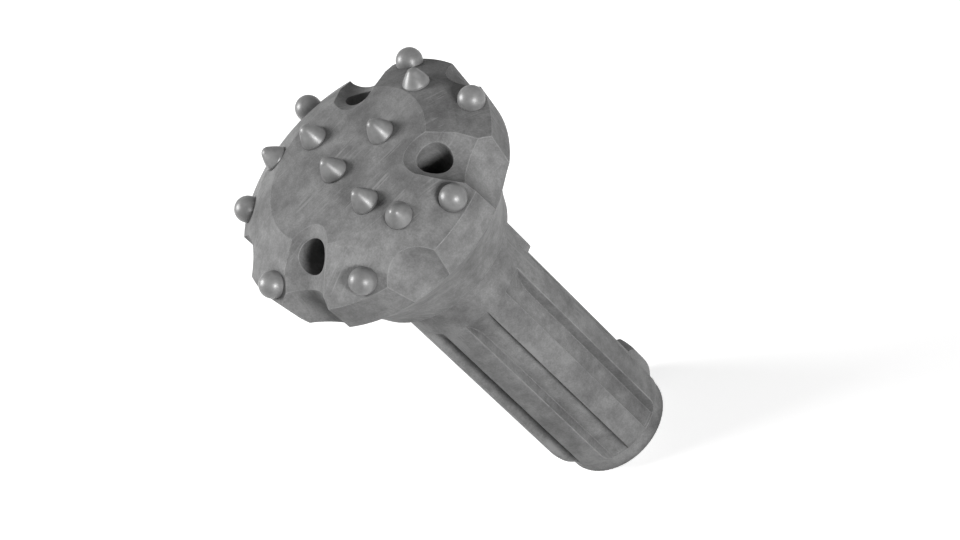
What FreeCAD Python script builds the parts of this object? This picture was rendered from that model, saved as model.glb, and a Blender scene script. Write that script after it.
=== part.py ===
import FreeCAD, Part
import math
import os

# Button drill bit: one steel body (head, collar, splined shank, tail) with
# tungsten-carbide buttons pressed into its face. Millimetres, +Z is the
# cutting end, the origin is the centre of the striking face at the tail.

# ---- steel body, outline along the axis ------------------------------------
BODY_LENGTH = 182.7        # striking face to the flat cutting face
FACE_RADIUS = 33.4         # flat centre of the cutting face
CONE_RADIUS = 43.4         # outer edge of the shallow face cone
CONE_DROP = 4.5            # height lost across the face cone
GAUGE_RADIUS = 53.5        # widest steel, where the gauge chamfer ends
GAUGE_DROP = 7.3           # height lost across the gauge chamfer
SKIRT_RADIUS = 51.9        # lower edge of the back-tapered skirt
SKIRT_HEIGHT = 14.2
NECK_RADIUS = 32.1         # shoulder that meets the chuck
NECK_HEIGHT = 29.3         # skirt edge down to the shoulder
NECK_SWEEP = 70.0          # hollow sweep under the skirt
COLLAR_RELIEF = 1.6        # corner radius between collar and shoulder

# ---- splined shank -------------------------------------------------------
SPLINE_RADIUS = 25.5
ROOT_RADIUS = 21.2
TAIL_RADIUS = 21.85        # plain guide end below the splines
TAIL_LENGTH = 6.3          # up to the foot of the splines
SPLINE_COUNT = 8
SPLINE_WIDTH = 9.8
SPLINE_PHASE = 3.9         # degrees, centre of the first spline
SPLINE_LEAD = 7.9          # length of the rounded lead at their lower end
LEAD_SWEEP = 13.0
RUNOUT_START = 93.6        # the cutter begins to lift out of the grooves
RUNOUT_LENGTH = 15.7
TAIL_ROUND = 0.5

# ---- retainer seat in one spline -------------------------------------------
SEAT_SPLINE = 2            # counted from the first spline
SEAT_FLOOR = 22.85         # axis to the floor of the seat
SEAT_LOW = 24.1
SEAT_HIGH = 95.8
SEAT_RISE = 3.1            # height of the rounded crest below the seat
SEAT_CREST = 3.4           # its radius
SEAT_SHOULDER = 1.3        # slope of the upper end

# ---- grooves down the side of the head ---------------------------------------
FLUTE_ANGLES = (39.4, 142.3, -62.4)    # degrees round the axis, below a flushing hole
CHIP_ANGLES = (-11.7, 91.2, -111.8)    # plain chip grooves between them
FLUTE_RADIUS = 12.9
FLUTE_CENTRE = 58.1        # cutter axis, level with the gauge corner
CHIP_RADIUS = 13.4
CHIP_CENTRE = 61.0
SIDE_TILT = 5.0            # degrees, the cutters lean in towards the face

# ---- flushing ways -------------------------------------------------------
WAY_SLOPE = 30.5           # degrees, fall of the milled way
HOLE_TILT = 33.3           # degrees, hole axis off the bit axis
WAY_START = 25.3           # where the milled way leaves the flat face
WAY_RADIUS = 12.6
HOLE_RADIUS = 6.5
HOLE_OUT = 35.1            # hole mouth from the bit axis
HOLE_STOP = 2.7            # each hole ends this far short of the bit axis
BORE_RADIUS = 9.0          # central air bore
BORE_PAST = 1.0            # the bore runs on past where the hole axes meet
DRILL_POINT = 118.0        # degrees, point of the drill that made the bore
FOOT_RADIUS = 12.5         # foot valve counterbore at the tail
FOOT_DEPTH = 38.0
FOOT_LEAD = 1.5

# ---- cutting face step ---------------------------------------------------
STEP_OUT = 19.1            # straight crease from the bit axis
STEP_ANGLE = -14.0
STEP_TILT = 1.2            # degrees the land falls away beyond the crease

# ---- carbide buttons -------------------------------------------------------
BUTTON_RADIUS = 5.0
BUTTON_DEPTH = 9.5         # pressed into the steel
BUTTON_LEAD = 0.8
GAUGE_ANGLES = (20.2, 71.4, 120.8, 174.2, 227.7, 278.8, 329.1)
GAUGE_OUT = 48.8           # where a gauge button's axis leaves the chamfer
GAUGE_STAND = 1.2          # straight part of a gauge button above the steel
FACE_HEIGHT = 7.4          # ballistic button above the flat face
FACE_TIP = 2.5
FACE_STAND = 0.6
FACE_LEAN = 32.0           # degrees, where the rounded tip meets the side
FACE_SWELL = 22.0          # radius of the swelling side
CENTRE_BUTTONS = ((-2.2, -4.9), (22.8, -4.9), (-24.1, -1.5), (1.8, 16.4))
ROW_RADIUS = 38.4          # three buttons on the shallow face cone
ROW_ANGLES = (-0.5, 99.8, 205.0)
ROW_HEIGHT = 6.3

OVER = 4.0                 # how far a cutting tool runs past the steel

V = FreeCAD.Vector
UP = V(0, 0, 1)
AXIS0 = V(0, 0, 0)

CONE_Z = BODY_LENGTH - CONE_DROP
GAUGE_Z = CONE_Z - GAUGE_DROP
SKIRT_Z = GAUGE_Z - SKIRT_HEIGHT
NECK_Z = SKIRT_Z - NECK_HEIGHT
CONE_TILT = math.degrees(math.atan2(CONE_DROP, CONE_RADIUS - FACE_RADIUS))
GAUGE_TILT = math.degrees(math.atan2(GAUGE_DROP, GAUGE_RADIUS - CONE_RADIUS))


def rz(r, z):
    return V(r, 0, z)


def line(a, b):
    return Part.makeLine(a, b)


def arc(a, b, radius, side):
    """Arc from a to b; side +1 or -1 picks which way it bulges."""
    mid = (a + b) * 0.5
    chord = b - a
    normal = V(-chord.z, 0, chord.x).normalize()
    half = chord.Length / 2.0
    sag = radius - math.sqrt(max(radius * radius - half * half, 0.0))
    return Part.Arc(a, mid + normal * (side * sag), b).toShape()


def revolve(edges):
    face = Part.Face(Part.Wire(edges))
    return face.revolve(AXIS0, UP, 360)


def core():
    """Tail, groove floors, collar, shoulder, skirt and cutting face."""
    lift = SPLINE_RADIUS - ROOT_RADIUS
    sweep = (RUNOUT_LENGTH ** 2 + lift ** 2) / (2.0 * lift)
    run_end = RUNOUT_START + RUNOUT_LENGTH
    pts = [rz(0, 0), rz(TAIL_RADIUS - TAIL_ROUND, 0), rz(TAIL_RADIUS, TAIL_ROUND),
           rz(TAIL_RADIUS, TAIL_LENGTH),
           rz(ROOT_RADIUS, TAIL_LENGTH + TAIL_RADIUS - ROOT_RADIUS),
           rz(ROOT_RADIUS, RUNOUT_START), rz(SPLINE_RADIUS, run_end),
           rz(SPLINE_RADIUS, NECK_Z - COLLAR_RELIEF),
           rz(SPLINE_RADIUS + COLLAR_RELIEF, NECK_Z), rz(NECK_RADIUS, NECK_Z),
           rz(SKIRT_RADIUS, SKIRT_Z), rz(GAUGE_RADIUS, GAUGE_Z),
           rz(CONE_RADIUS, CONE_Z), rz(FACE_RADIUS, BODY_LENGTH), rz(0, BODY_LENGTH)]
    quarter = TAIL_ROUND
    relief = COLLAR_RELIEF
    edges = [line(pts[0], pts[1]), arc(pts[1], pts[2], quarter, -1),
             line(pts[2], pts[3]), line(pts[3], pts[4]), line(pts[4], pts[5]),
             arc(pts[5], pts[6], sweep, 1), line(pts[6], pts[7]),
             arc(pts[7], pts[8], relief, 1), line(pts[8], pts[9]),
             arc(pts[9], pts[10], NECK_SWEEP, 1)]
    for i in range(10, 14):
        edges.append(line(pts[i], pts[i + 1]))
    edges.append(line(pts[14], pts[0]))
    return revolve(edges)


def spline_envelope():
    top = RUNOUT_START + RUNOUT_LENGTH + OVER
    inner = ROOT_RADIUS - OVER
    pts = [rz(inner, TAIL_LENGTH), rz(TAIL_RADIUS, TAIL_LENGTH),
           rz(SPLINE_RADIUS, TAIL_LENGTH + SPLINE_LEAD), rz(SPLINE_RADIUS, top), rz(inner, top)]
    edges = [line(pts[0], pts[1]), arc(pts[1], pts[2], LEAD_SWEEP, -1)]
    for i in range(2, 5):
        edges.append(line(pts[i], pts[(i + 1) % 5]))
    return revolve(edges)


def splines():
    envelope = spline_envelope()
    bars = []
    for i in range(SPLINE_COUNT):
        angle = SPLINE_PHASE + i * 360.0 / SPLINE_COUNT
        bar = Part.makeBox(SPLINE_RADIUS + OVER, SPLINE_WIDTH, BODY_LENGTH,
                           V(0, -SPLINE_WIDTH / 2.0, 0))
        bar.rotate(AXIS0, UP, angle)
        bars.append(envelope.common(bar))
    return bars


def seat_cutter():
    """Flat-floored seat in one spline with a rounded crest at its foot."""
    out = SPLINE_RADIUS + OVER
    crest_z = SEAT_LOW - SEAT_RISE
    a = rz(SEAT_FLOOR, SEAT_LOW)
    b = rz(SPLINE_RADIUS, crest_z)
    top = SEAT_HIGH + SEAT_SHOULDER * (out - SEAT_FLOOR) / (SPLINE_RADIUS - SEAT_FLOOR)
    edges = [arc(b, a, SEAT_CREST, -1), line(a, rz(SEAT_FLOOR, SEAT_HIGH)),
             line(rz(SEAT_FLOOR, SEAT_HIGH), rz(out, top)),
             line(rz(out, top), rz(out, crest_z)), line(rz(out, crest_z), b)]
    wide = SPLINE_WIDTH + OVER
    face = Part.Face(Part.Wire(edges))
    face.translate(V(0, -wide / 2.0, 0))
    solid = face.extrude(V(0, wide, 0))
    solid.rotate(AXIS0, UP, SPLINE_PHASE + SEAT_SPLINE * 360.0 / SPLINE_COUNT)
    return solid


def side_groove(angle, radius, centre):
    t = math.radians(SIDE_TILT)
    low = NECK_Z - OVER
    base = rz(centre + (GAUGE_Z - low) * math.tan(t), low)
    tool = Part.makeCylinder(radius, BODY_LENGTH - low + OVER, base, V(-math.sin(t), 0, math.cos(t)))
    tool.rotate(AXIS0, UP, angle)
    return tool


def flushing_way(angle):
    """Round-bottomed way that falls from the flat face out to the flute."""
    t = math.radians(WAY_SLOPE)
    along = V(math.cos(t), 0, -math.sin(t))
    off = V(math.sin(t), 0, math.cos(t))
    start = rz(WAY_START, BODY_LENGTH) + off * WAY_RADIUS - along * OVER
    way = Part.makeCylinder(WAY_RADIUS, GAUGE_RADIUS / math.cos(t) + OVER, start, along)
    way.rotate(AXIS0, UP, angle)
    return way


def mouth_z():
    return BODY_LENGTH - (HOLE_OUT - WAY_START) * math.tan(math.radians(WAY_SLOPE))


def flushing_hole(angle):
    t = math.radians(HOLE_TILT)
    down = V(-math.sin(t), 0, -math.cos(t))
    entry = 2.0 * HOLE_RADIUS
    start = rz(HOLE_OUT, mouth_z()) - down * entry
    reach = HOLE_OUT / math.sin(t) + entry - HOLE_STOP
    hole = Part.makeCylinder(HOLE_RADIUS, reach, start, down)
    hole.rotate(AXIS0, UP, angle)
    return hole


def hole_meet_z():
    return mouth_z() - HOLE_OUT / math.tan(math.radians(HOLE_TILT))


def air_bore():
    top = hole_meet_z() + BORE_PAST
    tip = BORE_RADIUS / math.tan(math.radians(DRILL_POINT / 2.0))
    pts = [rz(0, -OVER), rz(FOOT_RADIUS + FOOT_LEAD + OVER, -OVER), rz(FOOT_RADIUS, FOOT_LEAD),
           rz(FOOT_RADIUS, FOOT_DEPTH), rz(BORE_RADIUS, FOOT_DEPTH + FOOT_RADIUS - BORE_RADIUS),
           rz(BORE_RADIUS, top), rz(0, top + tip)]
    count = len(pts)
    return revolve([line(pts[i], pts[(i + 1) % count]) for i in range(count)])


def face_step():
    """Thin wedge that lets the face fall away beyond a straight crease."""
    reach = GAUGE_RADIUS - STEP_OUT + OVER
    wide = GAUGE_RADIUS + OVER
    drop = reach * math.tan(math.radians(STEP_TILT))
    pts = [V(STEP_OUT, -wide, BODY_LENGTH), V(STEP_OUT + reach, -wide, BODY_LENGTH - drop),
           V(STEP_OUT + reach, -wide, BODY_LENGTH + OVER), V(STEP_OUT, -wide, BODY_LENGTH + OVER)]
    face = Part.Face(Part.makePolygon(pts + [pts[0]]))
    wedge = face.extrude(V(0, 2.0 * wide, 0))
    wedge.rotate(AXIS0, UP, STEP_ANGLE)
    return wedge


def button_shank():
    """Foot, foot chamfer and lower end of the straight side of a button."""
    foot = rz(0, -BUTTON_DEPTH)
    base = rz(BUTTON_RADIUS - BUTTON_LEAD, -BUTTON_DEPTH)
    low = rz(BUTTON_RADIUS, -BUTTON_DEPTH + BUTTON_LEAD)
    return foot, base, low


def gauge_button():
    """Hemispherical button, its axis along +Z and the steel surface at z = 0."""
    foot, base, low = button_shank()
    a = rz(BUTTON_RADIUS, GAUGE_STAND)
    top = rz(0, GAUGE_STAND + BUTTON_RADIUS)
    s = BUTTON_RADIUS * math.sqrt(0.5)
    dome = Part.Arc(a, rz(s, GAUGE_STAND + s), top).toShape()
    return revolve([line(foot, base), line(base, low), line(low, a), dome, line(top, foot)])


def face_button(height):
    """Ballistic button: a cone with swelling sides and a rounded tip."""
    foot, base, low = button_shank()
    a = rz(BUTTON_RADIUS, FACE_STAND)
    centre = height - FACE_TIP
    lean = math.radians(FACE_LEAN)
    mid = rz(FACE_TIP * math.cos(lean), centre + FACE_TIP * math.sin(lean))
    half = math.radians((90.0 + FACE_LEAN) / 2.0)
    tip_mid = rz(FACE_TIP * math.cos(half), centre + FACE_TIP * math.sin(half))
    top = rz(0, height)
    side = arc(a, mid, FACE_SWELL, -1)
    tip = Part.Arc(mid, tip_mid, top).toShape()
    return revolve([line(foot, base), line(base, low), line(low, a), side, tip, line(top, foot)])


def socket():
    """Pocket that a button is pressed into, open above the steel surface."""
    foot, base, low = button_shank()
    high = rz(BUTTON_RADIUS, OVER)
    centre = rz(0, OVER)
    return revolve([line(foot, base), line(base, low), line(low, high),
                    line(high, centre), line(centre, foot)])


def set_in(shape, radius, angle, z, tilt):
    copy = shape.copy()
    copy.rotate(AXIS0, V(0, 1, 0), tilt)
    copy.translate(rz(radius, z))
    copy.rotate(AXIS0, UP, angle)
    return copy


def layout():
    """Every button as (name, kind, radius, angle, height, tilt)."""
    spots = []
    seat_z = CONE_Z - (GAUGE_OUT - CONE_RADIUS) * math.tan(math.radians(GAUGE_TILT))
    for i, angle in enumerate(GAUGE_ANGLES):
        spots.append(("gauge_button_%d" % (i + 1), "gauge", GAUGE_OUT,
                      angle, seat_z, GAUGE_TILT))
    for i, (x, y) in enumerate(CENTRE_BUTTONS):
        spots.append(("face_button_%d" % (i + 1), "face", math.hypot(x, y),
                      math.degrees(math.atan2(y, x)), BODY_LENGTH, 0.0))
    row_z = BODY_LENGTH - (ROW_RADIUS - FACE_RADIUS) * math.tan(math.radians(CONE_TILT))
    for i, angle in enumerate(ROW_ANGLES):
        spots.append(("row_button_%d" % (i + 1), "row", ROW_RADIUS, angle, row_z, CONE_TILT))
    return spots


def bit_body(spots):
    body = core().fuse(splines())
    body = body.cut(face_step())
    cutters = [seat_cutter()]
    for angle in FLUTE_ANGLES:
        cutters.append(side_groove(angle, FLUTE_RADIUS, FLUTE_CENTRE))
    for angle in CHIP_ANGLES:
        cutters.append(side_groove(angle, CHIP_RADIUS, CHIP_CENTRE))
    for angle in FLUTE_ANGLES:
        cutters.append(flushing_way(angle))
    for cutter in cutters:
        body = body.cut(cutter)
    body = body.cut(air_bore())
    for angle in FLUTE_ANGLES:
        body = body.cut(flushing_hole(angle))
    pocket = socket()
    for name, kind, radius, angle, z, tilt in spots:
        body = body.cut(set_in(pocket, radius, angle, z, tilt))
    body = body.removeSplitter()
    return body.Solids[0] if len(body.Solids) == 1 else body


def main():
    os.makedirs("parts", exist_ok=True)
    spots = layout()
    body = bit_body(spots)
    body.exportStep("parts/bit_body.step")
    kinds = {"gauge": gauge_button(), "face": face_button(FACE_HEIGHT),
             "row": face_button(ROW_HEIGHT)}
    for name, kind, radius, angle, z, tilt in spots:
        set_in(kinds[kind], radius, angle, z, tilt).exportStep("parts/%s.step" % name)
    box = body.BoundBox
    print("body solids", len(body.Solids), "valid", body.isValid(), "volume", round(body.Volume))
    print("box", [round(v, 2) for v in (box.XMin, box.XMax, box.YMin, box.YMax, box.ZMin, box.ZMax)])


main()
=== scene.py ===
import math

import bpy
from mathutils import Matrix, Vector

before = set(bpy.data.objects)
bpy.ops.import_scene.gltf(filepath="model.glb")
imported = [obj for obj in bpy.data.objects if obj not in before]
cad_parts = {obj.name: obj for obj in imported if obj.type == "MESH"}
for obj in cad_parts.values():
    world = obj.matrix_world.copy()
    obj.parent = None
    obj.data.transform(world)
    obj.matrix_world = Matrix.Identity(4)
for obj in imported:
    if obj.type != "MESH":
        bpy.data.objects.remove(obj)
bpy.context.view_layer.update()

EDGE_WIDTH = 0.0006        # metres of rubbed steel along a sharp edge
CREVICE_SHADE_REACH = 0.006      # metres over which painted shade darkens inner corners
WORLD_FILL = 0.05          # light that the surroundings give the object
FLOOR_GLOW = 0.58          # white that the floor shows the camera by itself
FLOOR_SEEN = 0.90          # colour that catches the shadow
FLOOR_BOUNCE = 0.12        # colour that lights the object from below
FLOOR_HALF = 3.0           # metres from the middle of the floor to its edge
LAMP_DISTANCE = 1.3        # metres from each lamp to the point it lights
LAMP_AIM = Vector((0, 0, 0.12))
CAMERA_EYE = Vector((0.96929, 0.0, 0.93535))
CAMERA_AIM = Vector((0, 0, 0.10700))
CAMERA_SENSOR = 36.0       # millimetres across
CAMERA_LENS = 129.91875    # millimetres
CAMERA_ROLL = 0.80434      # radians, so that the standing bit leans in the picture
ROLL_AXIS = Vector((0.00011, 0.00642, 1.0))    # right, down and forward of the camera


# ---- materials -------------------------------------------------------------
def node(tree, kind, **values):
    n = tree.nodes.new(kind)
    for key, value in values.items():
        if hasattr(n, key):
            setattr(n, key, value)
        else:
            n.inputs[key].default_value = value
    return n


def ramp(tree, source, stops):
    n = tree.nodes.new("ShaderNodeValToRGB")
    e = n.color_ramp.elements
    while len(e) < len(stops):
        e.new(0.5)
    for i, (pos, v) in enumerate(stops):
        e[i].position = pos
        e[i].color = (v, v, v, 1)
    tree.links.new(source, n.inputs[0])
    return n.outputs[0]


def mix(tree, kind, fac, a, b):
    n = tree.nodes.new("ShaderNodeMix")
    n.data_type = "RGBA"
    n.blend_type = kind
    for sock, v in ((n.inputs["Factor"], fac), (n.inputs[6], a), (n.inputs[7], b)):
        if hasattr(v, "is_output"):
            tree.links.new(v, sock)
        else:
            sock.default_value = v if sock.type == "VALUE" else (v, v, v, 1)
    return n.outputs[2]


def noise(tree, where, scale, detail, rough=0.6):
    n = node(tree, "ShaderNodeTexNoise", Scale=scale, Detail=detail, Roughness=rough)
    tree.links.new(where, n.inputs["Vector"])
    return n.outputs["Fac"]


def bump(tree, height, strength, distance, under=None):
    n = node(tree, "ShaderNodeBump", Strength=strength, Distance=distance)
    tree.links.new(height, n.inputs["Height"])
    if under is not None:
        tree.links.new(under, n.inputs["Normal"])
    return n.outputs["Normal"]


def scratches(tree, where, turn):
    """Thin broken lines that run one way over the surface."""
    place = node(tree, "ShaderNodeMapping", Rotation=turn, Scale=(1.0, 0.03, 0.03))
    tree.links.new(where, place.inputs["Vector"])
    lines = ramp(tree, noise(tree, place.outputs[0], 1100, 3, 0.5), [(0.60, 0.0), (0.66, 1.0)])
    patches = ramp(tree, noise(tree, where, 70, 4), [(0.48, 0.0), (0.62, 1.0)])
    return mix(tree, "MULTIPLY", 1.0, lines, patches)


def edge_wear(tree, where, rounded):
    """Rubbed steel where the surface turns sharply, broken up by noise."""
    flat = node(tree, "ShaderNodeNewGeometry")
    turn = node(tree, "ShaderNodeVectorMath", operation="DOT_PRODUCT")
    tree.links.new(rounded, turn.inputs[0])
    tree.links.new(flat.outputs["Normal"], turn.inputs[1])
    edge = ramp(tree, turn.outputs["Value"], [(0.955, 1.0), (0.994, 0.0)])
    worn = ramp(tree, noise(tree, where, 160, 5), [(0.36, 0.25), (0.60, 1.0)])
    return mix(tree, "MULTIPLY", 1.0, edge, worn)


def painted_crevice_shade(tree):
    """1 on open steel, darker in inner corners: painted shade taken from ambient occlusion."""
    open_sky = node(tree, "ShaderNodeAmbientOcclusion", samples=6, Distance=CREVICE_SHADE_REACH)
    return ramp(tree, open_sky.outputs["AO"], [(0.35, 0.45), (0.85, 1.0)])


def forged_steel():
    """Heat-treated forged steel: mottled scale, fine grain, faint scratches, rubbed edges, painted
    shade in inner corners.
    """
    mat = bpy.data.materials.new("forged_steel")
    mat.use_nodes = True
    t = mat.node_tree
    bsdf = t.nodes["Principled BSDF"]
    where = node(t, "ShaderNodeTexCoord").outputs["Object"]
    blotch = ramp(t, noise(t, where, 34, 7, 0.68), [(0.35, 0.170), (0.65, 0.300)])
    mottle = ramp(t, noise(t, where, 150, 9, 0.74), [(0.36, 0.79), (0.64, 1.19)])
    grain = ramp(t, noise(t, where, 1500, 3), [(0.32, 0.88), (0.68, 1.11)])
    tone = mix(t, "MULTIPLY", 1.0, blotch, mottle)
    tone = mix(t, "MULTIPLY", 1.0, tone, grain)
    for turn in ((0.4, 0.9, 0.2), (1.1, 0.2, 2.2), (2.3, 1.7, 0.9)):
        tone = mix(t, "MIX", scratches(t, where, turn), tone, 0.30)
    rounded = node(t, "ShaderNodeBevel", samples=6, Radius=EDGE_WIDTH).outputs["Normal"]
    tone = mix(t, "MIX", edge_wear(t, where, rounded), tone, 0.38)
    # painted shade: inner corners darkened in the base colour by ambient occlusion
    tone = mix(t, "MULTIPLY", 1.0, tone, painted_crevice_shade(t))
    t.links.new(tone, bsdf.inputs["Base Color"])
    rough = ramp(t, noise(t, where, 60, 6, 0.7), [(0.34, 0.50), (0.66, 0.66)])
    t.links.new(rough, bsdf.inputs["Roughness"])
    bsdf.inputs["Metallic"].default_value = 0.06
    bsdf.inputs["Specular IOR Level"].default_value = 0.14
    forged = bump(t, noise(t, where, 90, 5), 0.30, 0.0010, rounded)
    t.links.new(bump(t, noise(t, where, 420, 8, 0.7), 0.28, 0.0004, forged), bsdf.inputs["Normal"])
    return mat


def carbide():
    """Ground sintered carbide: smoother and a little lighter than the steel."""
    mat = bpy.data.materials.new("sintered_carbide")
    mat.use_nodes = True
    t = mat.node_tree
    bsdf = t.nodes["Principled BSDF"]
    where = node(t, "ShaderNodeTexCoord").outputs["Object"]
    fine = noise(t, where, 420, 6, 0.65)
    cloud = ramp(t, noise(t, where, 130, 5), [(0.34, 0.19), (0.66, 0.26)])
    speck = ramp(t, fine, [(0.34, 0.90), (0.66, 1.08)])
    t.links.new(mix(t, "MULTIPLY", 1.0, cloud, speck), bsdf.inputs["Base Color"])
    t.links.new(ramp(t, fine, [(0.34, 0.36), (0.66, 0.46)]), bsdf.inputs["Roughness"])
    bsdf.inputs["Metallic"].default_value = 0.20
    t.links.new(bump(t, fine, 0.10, 0.0002), bsdf.inputs["Normal"])
    return mat


STEEL = forged_steel()
CARBIDE = carbide()
for name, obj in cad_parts.items():
    obj.data.materials.clear()
    obj.data.materials.append(STEEL if name == "bit_body" else CARBIDE)


# ---- floor, surroundings, light and camera ---------------------------------
def background_rays(tree):
    """1 for the rays that show the background: seen, mirrored or through glass."""
    path = node(tree, "ShaderNodeLightPath")
    total = path.outputs["Is Camera Ray"]
    for name in ("Is Glossy Ray", "Is Transmission Ray"):
        either = node(tree, "ShaderNodeMath", operation="MAXIMUM")
        tree.links.new(total, either.inputs[0])
        tree.links.new(path.outputs[name], either.inputs[1])
        total = either.outputs[0]
    return total


def switch(tree, other, seen, target):
    choose = node(tree, "ShaderNodeMixShader")
    tree.links.new(background_rays(tree), choose.inputs[0])
    tree.links.new(other, choose.inputs[1])
    tree.links.new(seen, choose.inputs[2])
    tree.links.new(choose.outputs[0], target)


def diffuse(tree, grey):
    return node(tree, "ShaderNodeBsdfDiffuse", Color=(grey, grey, grey, 1)).outputs[0]


def floor():
    """White floor that keeps the shadow and lights the object only a little."""
    half = FLOOR_HALF
    mesh = bpy.data.meshes.new("floor")
    corners = [(-half, -half, 0), (half, -half, 0), (half, half, 0), (-half, half, 0)]
    mesh.from_pydata(corners, [], [(0, 1, 2, 3)])
    obj = bpy.data.objects.new("floor", mesh)
    bpy.context.collection.objects.link(obj)
    mat = bpy.data.materials.new("floor")
    mat.use_nodes = True
    t = mat.node_tree
    glow = node(t, "ShaderNodeEmission", Strength=FLOOR_GLOW)
    seen = node(t, "ShaderNodeAddShader")
    t.links.new(diffuse(t, FLOOR_SEEN), seen.inputs[0])
    t.links.new(glow.outputs[0], seen.inputs[1])
    target = t.nodes["Material Output"].inputs["Surface"]
    switch(t, diffuse(t, FLOOR_BOUNCE), seen.outputs[0], target)
    mesh.materials.append(mat)


def surroundings():
    world = bpy.data.worlds.new("world")
    bpy.context.scene.world = world
    world.use_nodes = True
    t = world.node_tree
    fill = t.nodes["Background"]
    fill.inputs["Color"].default_value = (1, 1, 1, 1)
    fill.inputs["Strength"].default_value = WORLD_FILL
    seen = node(t, "ShaderNodeBackground")
    seen.inputs["Color"].default_value = (1, 1, 1, 1)
    switch(t, fill.outputs[0], seen.outputs[0], t.nodes["World Output"].inputs["Surface"])


def lamp(name, azimuth, elevation, size, watts):
    data = bpy.data.lights.new(name, "AREA")
    data.shape = "DISK"
    data.size = size
    data.energy = watts
    obj = bpy.data.objects.new(name, data)
    a = math.radians(azimuth)
    e = math.radians(elevation)
    out = Vector((math.cos(a) * math.cos(e), math.sin(a) * math.cos(e), math.sin(e)))
    obj.location = LAMP_AIM + out * LAMP_DISTANCE
    obj.rotation_mode = "QUATERNION"
    obj.rotation_quaternion = (-out).to_track_quat("-Z", "Y")
    bpy.context.collection.objects.link(obj)


floor()
surroundings()
lamp("key", azimuth=-135, elevation=39, size=0.6, watts=16)
lamp("low", azimuth=9, elevation=15, size=0.4, watts=15)


def camera():
    data = bpy.data.cameras.new("camera")
    data.sensor_width = CAMERA_SENSOR
    data.lens = CAMERA_LENS
    data.clip_start = 0.05
    data.clip_end = 20
    obj = bpy.data.objects.new("camera", data)
    bpy.context.collection.objects.link(obj)
    forward = (CAMERA_AIM - CAMERA_EYE).normalized()
    right = forward.cross(Vector((0, 0, 1))).normalized()
    down = -right.cross(forward)
    rows = Matrix((right, down, forward))
    roll = Matrix.Rotation(CAMERA_ROLL, 3, ROLL_AXIS.normalized())
    rows = roll.transposed() @ rows
    facing = Matrix((rows[0], -rows[1], -rows[2])).transposed()
    obj.matrix_world = Matrix.Translation(CAMERA_EYE) @ facing.to_4x4()
    bpy.context.scene.camera = obj


camera()
bpy.context.scene.view_settings.view_transform = "Standard"
